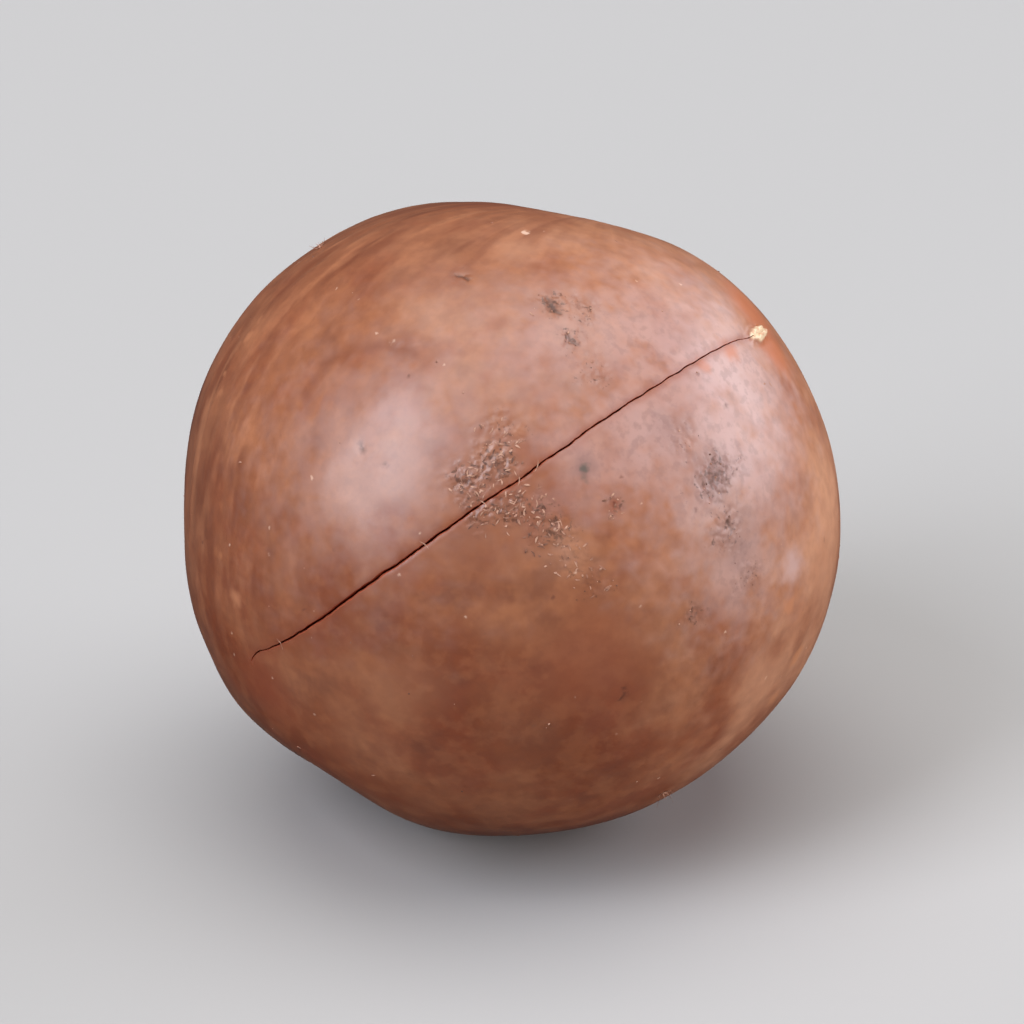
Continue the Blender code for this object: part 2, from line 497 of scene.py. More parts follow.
def detail_level(direction):
    """How many more times the mesh is divided here."""
    crusty = region_amount(direction, CRUST, 0.5)
    split = split_distance(direction)
    pore = (direction - PORE).length * SHELL_RADIUS
    if pore < 1.0 * MM or split < 0.25 * MM or crusty > 0.35 or scratch_amount(direction) > 0.02:
        return 2
    scar = (direction - SCAR).length * SHELL_RADIUS
    streaky = region_amount(direction, SEEN_STREAKY, 0.3)
    return 1 if split < 0.7 * MM or crusty > 0.1 or scar < 4.2 * MM or streaky > 0.55 else 0


def refine(bm, level):
    wanted = {v: detail_level(v.co.normalized()) >= level for v in bm.verts}
    edges = [e for e in bm.edges if wanted[e.verts[0]] and wanted[e.verts[1]]]
    bmesh.ops.subdivide_edges(bm, edges=edges, cuts=1, use_grid_fill=True)
    bmesh.ops.triangulate(bm, faces=[f for f in bm.faces if len(f.verts) > 3])


shell_bm = bmesh.new()
bmesh.ops.create_icosphere(shell_bm, subdivisions=SUBDIVISIONS, radius=1)
refine(shell_bm, 1)
refine(shell_bm, 2)
for vert in shell_bm.verts:
    way = vert.co.normalized()
    vert.co = way * shell_radius(way)
print("The shell has", len(shell_bm.faces), "triangles before the split")

# %% [markdown]
# The nut's middle isn't the middle of its box. The frame's solid was moved so that its box stands
# on the origin, so this shell is moved until its own box matches. Its lowest points are then
# levelled, which is the flat spot that it rests on.

# %% Setting the shell down in the frame
shell_low = Vector([min(v.co[axis] for v in shell_bm.verts) for axis in range(3)])
shell_high = Vector([max(v.co[axis] for v in shell_bm.verts) for axis in range(3)])
shell_middle = (nut_low + nut_high) / 2 - (shell_low + shell_high) / 2
shell_middle.z = nut_low.z - FOOT_DEPTH - shell_low.z
for vert in shell_bm.verts:
    vert.co += shell_middle
    vert.co.z = max(vert.co.z, nut_low.z)
print("The shell's middle is at", [round(c / MM, 2) for c in shell_middle], "mm")

# %% [markdown]
# ## Cutting the split
# The split is what is missing, so it is cut with a Boolean, which gives it true walls for light to
# get lost between. The blade starts as a long bar, divided along its length and its height. Every
# vertex is then placed by the functions above: bent round the nut, thin at the ends, and
# slightly ragged, because a shell breaks along its fibres.

# %% The blade
BLADE_STEPS = 260
BLADE_LEVELS = 9
BLADE_OVERSHOOT = 0.8 * MM
SKIN_LEVEL = 0.25
FLARE_WIDTH = 0.11 * MM
FLARE_DEPTH = 0.08 * MM
RAGGEDNESS = 0.028 * MM


def new_object(name, bm, *materials):
    """Makes a mesh object of a bmesh, at the origin, with these materials."""
    mesh = bpy.data.meshes.new(name)
    bm.to_mesh(mesh)
    bm.free()
    made = bpy.data.objects.new(name, mesh)
    bpy.context.scene.collection.objects.link(made)
    for material in materials:
        mesh.materials.append(material)
    return made


def blade_depth(below, depth):
    """Depth under the skin for a level of the blade, from 0 at its top to 1 at its foot."""
    if below < SKIN_LEVEL:
        return -BLADE_OVERSHOOT * (1 - below / SKIN_LEVEL)
    return depth * ((below - SKIN_LEVEL) / (1 - SKIN_LEVEL)) ** 1.8


def blade_point(along, side, level):
    """Where a corner of the bar goes; side and level run from -1 to 1."""
    outward = split_outward(along)
    fullness = split_fullness(along)
    below = (1 - level) / 2
    deep = blade_depth(below, SPLIT_END_DEPTH + (SPLIT_DEPTH - SPLIT_END_DEPTH) * fullness)
    pinch = 1 - (1 - SPLIT_PORE_SIDE_SHARE) / (1 + math.exp(-7 * (along + 0.05)))
    width = SPLIT_END_WIDTH + (SPLIT_WIDTH * pinch - SPLIT_END_WIDTH) * fullness
    flare = FLARE_WIDTH * pinch * fullness * bell(max(0.0, deep), FLARE_DEPTH)
    chips = RAGGEDNESS * fullness * noise.noise(Vector((75 * along, 2.5 * level, 9 * side)))
    half = (width * (1 - 0.4 * below) + flare) / 2
    across = SPLIT_OFFSET + split_sway(along) + side * half + chips
    return outward * (shell_form(outward) - deep) + SPLIT_NORMAL * across


blade_bm = bmesh.new()
bmesh.ops.create_cube(blade_bm, size=2)
long_edges = [e for e in blade_bm.edges if abs(e.verts[0].co.x - e.verts[1].co.x) > 1]
bmesh.ops.subdivide_edges(blade_bm, edges=long_edges, cuts=BLADE_STEPS, use_grid_fill=True)
tall_edges = [e for e in blade_bm.edges if abs(e.verts[0].co.z - e.verts[1].co.z) > 1]
bmesh.ops.subdivide_edges(blade_bm, edges=tall_edges, cuts=BLADE_LEVELS, use_grid_fill=True)
for vert in blade_bm.verts:
    vert.co = blade_point(*vert.co) + shell_middle
bmesh.ops.triangulate(blade_bm, faces=blade_bm.faces)
bmesh.ops.recalc_face_normals(blade_bm, faces=blade_bm.faces)
print("The blade has", len(blade_bm.faces), "triangles")

# %% [markdown]
# A Boolean gives the cut faces the blade's material, so the two materials are made now and
# filled with nodes later. The result of the modifier is turned into a plain mesh, because what
# comes next reads its vertices.

# %% The cut
shell_material = bpy.data.materials.new("roasted_shell")
wall_material = bpy.data.materials.new("split_wall")
shell = new_object("shell", shell_bm, shell_material, wall_material)
blade = new_object("blade", blade_bm, wall_material)
cut = shell.modifiers.new("split", "BOOLEAN")
cut.operation = "DIFFERENCE"
cut.solver = "EXACT"
cut.object = blade
cut.material_mode = "TRANSFER"
graph = bpy.context.evaluated_depsgraph_get()
split_mesh = bpy.data.meshes.new_from_object(shell.evaluated_get(graph))
shell.modifiers.clear()
shell.data = split_mesh
bpy.data.objects.remove(blade)
shell.data.shade_smooth()
print("The split shell has", len(shell.data.polygons), "faces in", len(shell.data.materials), "materials")

# %% [markdown]
# The shell is shaded smooth, but broken edges are crisp. So each edge between the skin and a wall
# of the split is marked sharp.

# %% Crisp lips
lips_bm = bmesh.new()
lips_bm.from_mesh(shell.data)
for edge in lips_bm.edges:
    edge.smooth = len({face.material_index for face in edge.link_faces}) == 1
lips_bm.to_mesh(shell.data)
print("Sharp edges:", sum(not edge.smooth for edge in lips_bm.edges))
lips_bm.free()

# %% [markdown]
# ## Masks for the materials
# Some colours keep to a place: the grey of the haze, which is partly painted sheen, the cream of the
# pore, the buff bed of the scar, and the lips of the split, with painted shade beside them. Working
# them out again with shader nodes would be slow, so they are measured once for each vertex and kept
# in attributes, which the material reads. The last one is 0 on the outside and 1 as deep as the
# split goes.

# %% Attributes on the shell
def add_mask(name, rule):
    """Keeps the rule's value, from 0 to 1, for each vertex; a rule takes its direction and place."""
    layer = shell.data.attributes.new(name, "FLOAT", "POINT")
    places = [v.co - shell_middle for v in shell.data.vertices]
    values = [min(1.0, max(0.0, rule(place.normalized(), place))) for place in places]
    layer.data.foreach_set("value", values)
    print(f"{name}: mean {sum(values) / len(values):.3f}")


add_mask("crust", lambda way, place: region_amount(way, CRUST, 0.5))
add_mask("haze_and_sheen", lambda way, place: region_amount(way, HAZE_AND_SHEEN, 0.5))
add_mask("streaky", lambda way, place: region_amount(way, STREAKY, 0.3))
add_mask("pale_and_lit", lambda way, place: region_amount(way, PALE_AND_LIT_ZONES, 0.3))
add_mask("fold", lambda way, place: bell(line_distance(way, FOLD), 0.32 * MM))
add_mask("scratch", lambda way, place: scratch_amount(way))
add_mask("lip_colour_and_shade", lambda way, place: bell(split_distance(way), 0.20 * MM))
add_mask("pore", lambda way, place: (1.08 - pore_share(way)) / 0.16)
add_mask("scar", lambda way, place: 1.25 * bell(place.angle(SCAR) * SHELL_RADIUS, 3.4 * MM) ** 2)
add_mask("depth", lambda way, place: (shell_form(way) - place.length) / SPLIT_DEPTH)

# %% [markdown]
# ## Colour, part one: helpers
# A material is a graph, and a graph written node by node is hard to read. A few helpers keep it
# short: they add a node and feed it, turn screen colours into the linear ones that shaders want,
# mix two colours by a mask, and make or use a group of nodes.

# %% Node helpers
def linear(*colour):
    """A colour given as 0 to 255 screen values, as the linear colour that a shader takes."""
    return [((c / 255 + 0.055) / 1.055) ** 2.4 if c > 10 else c / 255 / 12.92 for c in colour] + [1]


def feed(tree, socket, value):
    """Sets an input socket to a value, or links it to the output socket that the value is."""
    if isinstance(value, bpy.types.NodeSocket):
        tree.links.new(value, socket)
    else:
        socket.default_value = value


def add_node(tree, kind, settings=None, **inputs):
    """Adds a node and feeds its inputs. Underscores stand for spaces, and i2 for input number 2."""
    node = tree.nodes.new(kind)
    for name, value in (settings or {}).items():
        setattr(node, name, value)
    for name, value in inputs.items():
        key = int(name[1:]) if name[1:].isdigit() else name.replace("_", " ")
        feed(tree, node.inputs[key], value)
    return node


def math_node(tree, operation, first, second=0.0, third=0.0):
    node = add_node(tree, "ShaderNodeMath", {"operation": operation}, i0=first, i1=second, i2=third)
    return node.outputs[0]


def vector_node(tree, operation, **inputs):
    node = add_node(tree, "ShaderNodeVectorMath", {"operation": operation}, **inputs)
    return node.outputs["Value" if operation == "DISTANCE" else "Vector"]


def blend(tree, mask, under, over, strength=1.0):
    """The colour under, covered by the colour over as far as mask times strength says."""
    if strength != 1.0:
        mask = math_node(tree, "MULTIPLY", mask, strength)
    node = add_node(tree, "ShaderNodeMix", {"data_type": "RGBA"}, Factor=mask, i6=under, i7=over)
    return node.outputs[2]


def smooth_range(tree, value, low, high, top=1.0):
    """0 where the value is low, rising smoothly to the top where it is high."""
    node = add_node(
        tree, "ShaderNodeMapRange", {"interpolation_type": "SMOOTHSTEP"},
        Value=value, From_Min=low, From_Max=high, To_Max=top,
    )
    return node.outputs["Result"]


def read_mask(tree, name):
    return add_node(tree, "ShaderNodeAttribute", {"attribute_name": name}).outputs["Fac"]


def new_group(name, vectors, numbers):
    """A node group with these vector inputs, these float inputs and their values, and one mask out."""
    group = bpy.data.node_groups.new(name, "ShaderNodeTree")
    for label in vectors:
        group.interface.new_socket(label, in_out="INPUT", socket_type="NodeSocketVector")
    for label, value in numbers.items():
        socket = group.interface.new_socket(label, in_out="INPUT", socket_type="NodeSocketFloat")
        socket.default_value = value
    group.interface.new_socket("Mask", in_out="OUTPUT", socket_type="NodeSocketFloat")
    given = group.nodes.new("NodeGroupInput").outputs
    return group, given, group.nodes.new("NodeGroupOutput").inputs["Mask"]


def use_group(tree, group, **inputs):
    return add_node(tree, "ShaderNodeGroup", {"node_tree": group}, **inputs).outputs[0]


# %% [markdown]
# ## Colour, part two: patterns that several materials share
# Clouds of colour turn up on the shell, in the split and on the husk, at many sizes. Speckles and
# streaks turn up more than once on the shell. So each is a node group, built once, with its sizes
# as inputs. Lengths are in millimetres.

# %% Clouds
def make_clouds():
    """Soft blotches of this size; where Low and High are close, their edges are sharp."""
    group, given, mask = new_group(
        "clouds", ("Vector",), {"Size": 4, "Detail": 3, "Low": 0.35, "High": 0.65, "Shift": 0}
    )
    shifted = vector_node(group, "ADD", i0=given["Vector"], i1=given["Shift"])
    scale = math_node(group, "DIVIDE", 1.0, given["Size"])
    field = add_node(
        group, "ShaderNodeTexNoise", Vector=shifted, Scale=scale, Detail=given["Detail"], Roughness=0.55
    )
    group.links.new(smooth_range(group, field.outputs["Fac"], given["Low"], given["High"]), mask)
    return group


# %% Speckles
def make_speckles():
    """Small spots, one in a share of the cells that they are this far apart."""
    group, given, mask = new_group(
        "speckles", ("Vector",), {"Spacing": 0.6, "Radius": 0.2, "Softness": 1.0, "Share": 0.4, "Shift": 0}
    )
    shifted = vector_node(group, "ADD", i0=given["Vector"], i1=given["Shift"])
    scale = math_node(group, "DIVIDE", 1.0, given["Spacing"])
    cells = add_node(group, "ShaderNodeTexVoronoi", Vector=shifted, Scale=scale)
    hardness = math_node(group, "SUBTRACT", 1.0, given["Softness"])
    core = math_node(group, "MULTIPLY", given["Radius"], hardness)
    near = smooth_range(group, cells.outputs["Distance"], given["Radius"], core)
    luck = add_node(group, "ShaderNodeSeparateColor", Color=cells.outputs["Color"])
    chosen = math_node(group, "LESS_THAN", luck.outputs[0], given["Share"])
    group.links.new(math_node(group, "MULTIPLY", near, chosen), mask)
    return group


# %% Streaks
def make_streaks():
    """Streaks that run from pole to pole of a ball centred on the vector's origin, poles on Z."""
    group, given, mask = new_group(
        "streaks", ("Vector",), {"Across": 8, "Along": 1, "Low": 0.4, "High": 0.65}
    )
    unit = vector_node(group, "NORMALIZE", i0=given["Vector"])
    parts = add_node(group, "ShaderNodeSeparateXYZ", Vector=unit)
    flat = add_node(group, "ShaderNodeCombineXYZ", X=parts.outputs["X"], Y=parts.outputs["Y"])
    heading = vector_node(group, "NORMALIZE", i0=flat.outputs[0])
    wide = vector_node(group, "SCALE", i0=heading, Scale=given["Across"])
    height = math_node(group, "MULTIPLY", parts.outputs["Z"], given["Along"])
    lift = add_node(group, "ShaderNodeCombineXYZ", Z=height)
    place = vector_node(group, "ADD", i0=wide, i1=lift.outputs[0])
    field = add_node(group, "ShaderNodeTexNoise", Vector=place, Scale=1.0, Detail=2.0, Roughness=0.5)
    group.links.new(smooth_range(group, field.outputs["Fac"], given["Low"], given["High"]), mask)
    return group


clouds = make_clouds()
speckles = make_speckles()
streaks = make_streaks()


def cloud_mask(tree, place, size, detail, low, high, shift=0.0):
    """The clouds' mask at a place; a shift gives other clouds of the same kind."""
    return use_group(tree, clouds, Vector=place, Size=size, Detail=detail, Low=low, High=high, Shift=shift)


# %% [markdown]
# A spot that must stay crisp can't come from an attribute, because the mesh is too coarse for
# its edge. This group measures the distance to the spot's middle for each point. The place that it
# is given is bent by a little noise beforehand, once for all the spots, so that no edge is round.

# %% Spots
def make_spot():
    """One round spot at a place, full up to Core and gone at Radius."""
    group, given, mask = new_group(
        "spot", ("Vector", "Place"), {"Radius": 0.3, "Core": 0.1, "Strength": 1.0}
    )
    away = vector_node(group, "DISTANCE", i0=given["Vector"], i1=given["Place"])
    full = smooth_range(group, away, given["Radius"], given["Core"], given["Strength"])
    group.links.new(full, mask)
    return group


def ragged_place(tree, place, size, amount):
    """The place, pushed about by noise of this size, so that what is drawn on it has ragged edges."""
    wobble = add_node(tree, "ShaderNodeTexNoise", Vector=place, Scale=1 / size, Detail=2.0)
    centred = vector_node(tree, "SUBTRACT", i0=wobble.outputs["Color"], i1=(0.5, 0.5, 0.5))
    push = vector_node(tree, "SCALE", i0=centred, Scale=amount)
    return vector_node(tree, "ADD", i0=place, i1=push)


spot = make_spot()

# %% [markdown]
# ## The shell's finish
# A roasted shell is satin, like polished wood. Its colour is layered: a red-brown ground, painted
# darker low down as shade, tan and rust clouds a few millimetres wide, streaks that follow the ribs,
# a grey film that is partly painted sheen, husk, then specks. Some marks are painted shade on the
# rims, and some paler marks are partly painted light. Each mark is a spot: how far right and up, its
# radius in millimetres, how soft its edge is, its colour and its strength.

# %% The shell's colours
GROUND_SHADED_LOW = linear(122, 54, 24)
GROUND_LIT_HIGH = linear(158, 98, 67)
TAN = linear(176, 118, 84)
TAN_AND_PAINTED_LIGHT = linear(200, 146, 114)
UMBER = linear(134, 78, 54)
RUST = linear(136, 66, 42)
STAIN = linear(104, 60, 46)
STREAK_PALE = linear(186, 122, 86)
DARK_STREAK_AND_SHADE = linear(116, 62, 42)
FLECK = linear(222, 184, 160)
SCURF = linear(118, 78, 62)
CRUST_DARK = linear(80, 52, 42)
HAZE_AND_SHEEN_GREY = linear(190, 156, 150)
CREAM = linear(226, 198, 162)
PORE_RUST = linear(184, 106, 68)
GOLD = linear(186, 120, 80)
SCAR_BUFF = linear(170, 128, 96)
GREEN_GREY = linear(88, 84, 76)
MAUVE = linear(128, 96, 90)

# %% The marks
SEEN_MARKS = [
    (0.73, 0.63, 2.00, 0.8, PORE_RUST, 0.80),
    (0.80, 0.50, 1.60, 0.8, PORE_RUST, 0.80),
    (0.66, 0.485, 0.75, 0.9, PORE_RUST, 0.80),
    (0.58, 0.440, 0.50, 0.9, PORE_RUST, 0.60),
    # Painted shade: these three darken the left edge and the lower-left edge.
    (-0.97, 0.30, 3.20, 0.7, DARK_STREAK_AND_SHADE, 0.92),
    (-0.93, 0.05, 1.80, 0.9, DARK_STREAK_AND_SHADE, 0.45),
    (-0.72, -0.53, 2.40, 0.9, RUST, 0.60),
    # Painted shade: these three darken the top rim.
    (-0.30, 0.94, 2.20, 0.9, DARK_STREAK_AND_SHADE, 0.60),
    (-0.08, 0.985, 3.00, 0.8, DARK_STREAK_AND_SHADE, 0.80),
    (0.25, 0.955, 1.60, 0.9, UMBER, 0.50),
    (0.25, -0.45, 3.40, 0.9, RUST, 0.50),
    (0.10, -0.68, 1.60, 0.9, STAIN, 0.25),
    (0.32, -0.76, 1.40, 0.9, STAIN, 0.25),
    (-0.30, -0.50, 2.60, 0.9, TAN, 0.35),
    (-0.10, -0.10, 2.00, 0.9, UMBER, 0.45),
    (-0.02, 0.08, 2.20, 0.9, UMBER, 0.35),
    (0.12, 0.10, 1.60, 0.9, UMBER, 0.25),
    (0.60, 0.12, 1.60, 0.9, MAUVE, 0.45),
    (0.49, 0.26, 1.20, 0.9, MAUVE, 0.25),
    (0.68, -0.08, 1.60, 0.9, MAUVE, 0.35),
    (0.22, 0.14, 0.80, 0.9, MAUVE, 0.60),
    (0.222, 0.137, 0.30, 0.7, GREEN_GREY, 0.80),
    (0.220, 0.105, 0.28, 0.9, GREEN_GREY, 0.45),
    (0.31, 0.03, 0.36, 0.8, RUST, 0.50),
    (0.31, 0.03, 0.14, 0.6, STAIN, 0.60),
    (-0.77, 0.53, 0.40, 0.8, STREAK_PALE, 0.60),
    (-0.74, 0.575, 0.34, 0.9, STREAK_PALE, 0.40),
    (-0.86, 0.36, 0.34, 0.9, STREAK_PALE, 0.40),
    (-0.845, 0.42, 0.30, 0.8, STREAK_PALE, 0.60),
    (-0.81, -0.25, 0.55, 0.9, STREAK_PALE, 0.75),
    (-0.86, -0.12, 0.35, 0.7, GOLD, 0.35),
    (0.86, -0.42, 0.55, 0.6, GOLD, 0.55),
    (0.80, -0.55, 0.45, 0.6, GOLD, 0.45),
    (0.83, -0.27, 0.50, 0.7, STREAK_PALE, 0.60),
    # Partly a pale film, partly a painted glossy highlight.
    (0.84, -0.15, 1.05, 0.9, HAZE_AND_SHEEN_GREY, 0.72),
    # These two lighten the right rim: partly the shell's tan, partly painted light.
    (0.94, -0.12, 2.60, 0.9, TAN_AND_PAINTED_LIGHT, 0.35),
    (0.72, -0.50, 2.00, 0.9, TAN_AND_PAINTED_LIGHT, 0.22),
    (0.18, -0.11, 1.50, 0.9, TAN_AND_PAINTED_LIGHT, 0.28),
    (-0.16, 0.80, 1.10, 0.9, STAIN, 0.30),
    # Partly tan, partly painted light on the top.
    (0.02, 0.78, 1.30, 0.9, TAN_AND_PAINTED_LIGHT, 0.35),
    (0.053, 0.846, 0.20, 0.5, FLECK, 0.90),
    (-0.335, 0.505, 0.19, 0.6, FLECK, 0.70),
]
HIDDEN_MARKS = 14
MARKS = [(seen_at(right, up), *finish) for right, up, *finish in SEEN_MARKS]
for place in hidden_directions(HIDDEN_MARKS, hidden_draw):
    tint = hidden_draw.choice((GOLD, STREAK_PALE, RUST, STAIN))
    MARKS.append((place, hidden_draw.uniform(0.4, 1.6), 0.95, tint, hidden_draw.uniform(0.2, 0.5)))
print(len(MARKS), "marks")


# %% The start of a material
def nut_place(tree, turned=False):
    """Object coordinates in millimetres from the nut's middle; turned, with RIB_POLE on +Z."""
    here = add_node(tree, "ShaderNodeTexCoord").outputs["Object"]
    centred = add_node(
        tree, "ShaderNodeMapping", Vector=here, Location=-shell_middle / MM, Scale=(1 / MM, 1 / MM, 1 / MM)
    ).outputs[0]
    if not turned:
        return centred
    turn = RIB_POLE.rotation_difference(Vector((0, 0, 1))).to_euler()
    return add_node(tree, "ShaderNodeMapping", Vector=centred, Rotation=turn).outputs[0]


def start_material(material):
    """Empties the material and returns its node tree and a new Principled shader."""
    material.use_nodes = True
    tree = material.node_tree
    tree.nodes.clear()
    output = tree.nodes.new("ShaderNodeOutputMaterial")
    shader = tree.nodes.new("ShaderNodeBsdfPrincipled")
    tree.links.new(shader.outputs["BSDF"], output.inputs["Surface"])
    return tree, shader


# %% Layers of colour on the shell
# Painted shade: by height, the ground goes from a lit colour high up to a shaded one low down.
SHADE_DRIFT = 14.0
SHADE_LOW = -4.0
SHADE_HIGH = 16.0


def shell_ground(tree, place, poles):
    """The ground, painted darker and redder low down as shade, with its clouds and streaks."""
    height = add_node(tree, "ShaderNodeSeparateXYZ", Vector=place).outputs["Z"]
    drift = cloud_mask(tree, place, size=9.0, detail=2.0, low=0.25, high=0.75, shift=61.0)
    raised = math_node(tree, "MULTIPLY_ADD", drift, SHADE_DRIFT, height)
    # Painted shade: darker and redder low down.
    low_shade = smooth_range(tree, raised, SHADE_LOW, SHADE_HIGH)
    colour = blend(tree, low_shade, GROUND_SHADED_LOW, GROUND_LIT_HIGH)
    broad = cloud_mask(tree, place, size=5.0, detail=3.0, low=0.42, high=0.62)
    colour = blend(tree, broad, colour, TAN, 0.42)
    for size, low, high, shift, tint, strength in (
        (2.6, 0.46, 0.66, 21.0, RUST, 0.45),
        (1.9, 0.54, 0.72, 47.0, STAIN, 0.38),
        (1.0, 0.46, 0.62, 83.0, GOLD, 0.19),
    ):
        colour = blend(tree, cloud_mask(tree, place, size, 3.0, low, high, shift), colour, tint, strength)
    # Paler tan on the top and the right rim: partly the shell's own colour, partly painted light.
    pale_and_lit = read_mask(tree, "pale_and_lit")
    colour = blend(tree, pale_and_lit, colour, TAN_AND_PAINTED_LIGHT, 0.35)
    colour = blend(tree, math_node(tree, "MULTIPLY", pale_and_lit, broad), colour, TAN_AND_PAINTED_LIGHT, 0.60)
    streaky = read_mask(tree, "streaky")
    pale = use_group(tree, streaks, Vector=poles, Across=12.0, Along=4.0, Low=0.50, High=0.68)
    dark = use_group(tree, streaks, Vector=poles, Across=9.0, Along=4.0, Low=0.44, High=0.64)
    fine = cloud_mask(tree, place, size=0.5, detail=2.0, low=0.3, high=0.7, shift=5.0)
    colour = blend(tree, streaky, colour, UMBER, 0.50)
    colour = blend(tree, math_node(tree, "MULTIPLY", dark, streaky), colour, DARK_STREAK_AND_SHADE, 0.75)
    colour = blend(tree, math_node(tree, "MULTIPLY", pale, streaky), colour, STREAK_PALE, 0.60)
    return blend(tree, fine, colour, STAIN, 0.22)


def husk_masks(tree, place):
    """Two masks of the husk that is left: brown scurf, and dark pits in it."""
    thin = math_node(tree, "MULTIPLY_ADD", read_mask(tree, "crust"), -0.30, 0.74)
    thick = math_node(tree, "ADD", thin, 0.16)
    scurf = cloud_mask(tree, place, size=0.45, detail=4.0, low=thin, high=thick, shift=71.0)
    pits = cloud_mask(tree, place, size=0.20, detail=3.0, low=thin, high=thick, shift=17.0)
    return scurf, pits


def shell_dirt(tree, place, colour, husk):
    """Haze with painted sheen, husk, specks and scratches over the ground."""
    scurf, pits = husk
    hazy_and_glossy = read_mask(tree, "haze_and_sheen")
    film_and_sheen = cloud_mask(tree, place, size=1.4, detail=3.0, low=0.12, high=0.52, shift=33.0)
    # A pinkish grey film, laid partly where the sheen lies: partly painted sheen.
    colour = blend(tree, math_node(tree, "MULTIPLY", film_and_sheen, hazy_and_glossy), colour, HAZE_AND_SHEEN_GREY, 0.78)
    mottled = cloud_mask(tree, place, size=0.35, detail=3.0, low=0.46, high=0.66, shift=3.0)
    colour = blend(tree, math_node(tree, "MULTIPLY", mottled, hazy_and_glossy), colour, MAUVE, 0.38)
    colour = blend(tree, read_mask(tree, "crust"), colour, SCURF, 0.34)
    colour = blend(tree, scurf, colour, SCURF, 0.62)
    colour = blend(tree, pits, colour, CRUST_DARK, 0.72)
    ragged = ragged_place(tree, place, 0.25, 0.25)
    for spacing, radius, share, shift, tint, strength in (
        (0.80, 0.12, 0.14, 0.0, FLECK, 0.65),
        (1.30, 0.11, 0.25, 5.0, STAIN, 0.70),
    ):
        mask = use_group(
            tree, speckles,
            Vector=ragged, Spacing=spacing, Radius=radius, Softness=0.9, Share=share, Shift=shift,
        )
        colour = blend(tree, mask, colour, tint, strength)
    dashes = cloud_mask(tree, place, size=0.3, detail=2.0, low=0.30, high=0.55, shift=37.0)
    scratched = math_node(tree, "MULTIPLY", read_mask(tree, "scratch"), dashes)
    return blend(tree, scratched, colour, CRUST_DARK, 0.70)


def shell_marks(tree, place, colour):
    """The named spots, then the scar, the lips and the pore."""
    ragged = ragged_place(tree, place, 0.45, 0.6)
    for direction, radius, softness, tint, strength in MARKS:
        middle = direction * shell_form(direction) / MM
        mask = use_group(
            tree, spot,
            Vector=ragged, Place=middle, Radius=radius, Core=radius * (1 - softness), Strength=strength,
        )
        colour = blend(tree, mask, colour, tint)
    colour = blend(tree, read_mask(tree, "scar"), colour, SCAR_BUFF, 0.85)
    # The lips of the split: their own rust colour, and painted shade beside the split.
    colour = blend(tree, read_mask(tree, "lip_colour_and_shade"), colour, RUST, 0.45)
    # Painted shade: the fold's groove is darkened along its line, broken up by clouds.
    worn = cloud_mask(tree, place, size=1.6, detail=1.0, low=0.20, high=0.55, shift=19.0)
    fold_shade = math_node(tree, "MULTIPLY", read_mask(tree, "fold"), worn)
    colour = blend(tree, fold_shade, colour, DARK_STREAK_AND_SHADE, 0.42)
    wrinkles = cloud_mask(tree, place, size=0.16, detail=1.0, low=0.52, high=0.62, shift=8.0)
    knob = blend(tree, wrinkles, CREAM, PORE_RUST, 0.50)
    return blend(tree, read_mask(tree, "pore"), colour, knob)


# %% Sheen and grain of the shell
SMOOTHEST = 0.29
ROUGHEST = 0.38
ROUGHER_IN_SCURF = 0.25
GRAIN_SCALE = 2.2
GRAIN_HEIGHT = 0.006 * MM


def paint_shell(material):
    tree, shader = start_material(material)
    place = nut_place(tree)
    husk = husk_masks(tree, place)
    colour = shell_ground(tree, place, nut_place(tree, turned=True))
    colour = shell_dirt(tree, place, colour, husk)
    colour = shell_marks(tree, place, colour)
    tree.links.new(colour, shader.inputs["Base Color"])
    worn = cloud_mask(tree, place, size=1.8, detail=1.0, low=0.3, high=0.7, shift=13.0)
    satin = add_node(tree, "ShaderNodeMapRange", Value=worn, To_Min=SMOOTHEST, To_Max=ROUGHEST)
    rough = math_node(tree, "MULTIPLY_ADD", husk[0], ROUGHER_IN_SCURF, satin.outputs["Result"])
    tree.links.new(rough, shader.inputs["Roughness"])
    grain = add_node(tree, "ShaderNodeTexNoise", Vector=place, Scale=GRAIN_SCALE, Detail=3.0, Roughness=0.6)
    bump = add_node(tree, "ShaderNodeBump", Strength=1.0, Distance=GRAIN_HEIGHT, Height=grain.outputs["Fac"])
    tree.links.new(bump.outputs["Normal"], shader.inputs["Normal"])


paint_shell(shell_material)

# %% [markdown]
# ## Inside the split
# Broken shell is matt. It is brown just under the skin and redder further in, and the shadow there
# makes it nearly black. The depth mask drives the change of colour.

# %% The split's walls
WALL_EDGE = linear(168, 88, 56)
WALL_DEEP = linear(170, 66, 34)
SKIN_SHARE = 0.10


def paint_wall(material):
    tree, shader = start_material(material)
    place = nut_place(tree)
    fibres = cloud_mask(tree, place, size=0.35, detail=4.0, low=0.3, high=0.7)
    deep = add_node(
        tree, "ShaderNodeMapRange", Value=read_mask(tree, "depth"), From_Min=0.0, From_Max=SKIN_SHARE
    )
    colour = blend(tree, deep.outputs["Result"], WALL_EDGE, WALL_DEEP)
    colour = blend(tree, fibres, colour, WALL_DEEP, 0.4)
    tree.links.new(colour, shader.inputs["Base Color"])
    shader.inputs["Roughness"].default_value = 0.8
    bump = add_node(tree, "ShaderNodeBump", Strength=0.6, Distance=0.05 * MM, Height=fibres)
    tree.links.new(bump.outputs["Normal"], shader.inputs["Normal"])


paint_wall(wall_material)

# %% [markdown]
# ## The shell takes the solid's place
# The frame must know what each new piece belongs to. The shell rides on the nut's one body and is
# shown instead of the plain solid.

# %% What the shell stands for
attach(shell, "root")
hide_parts(NUT)
print("The shell is shown instead of", NUT)

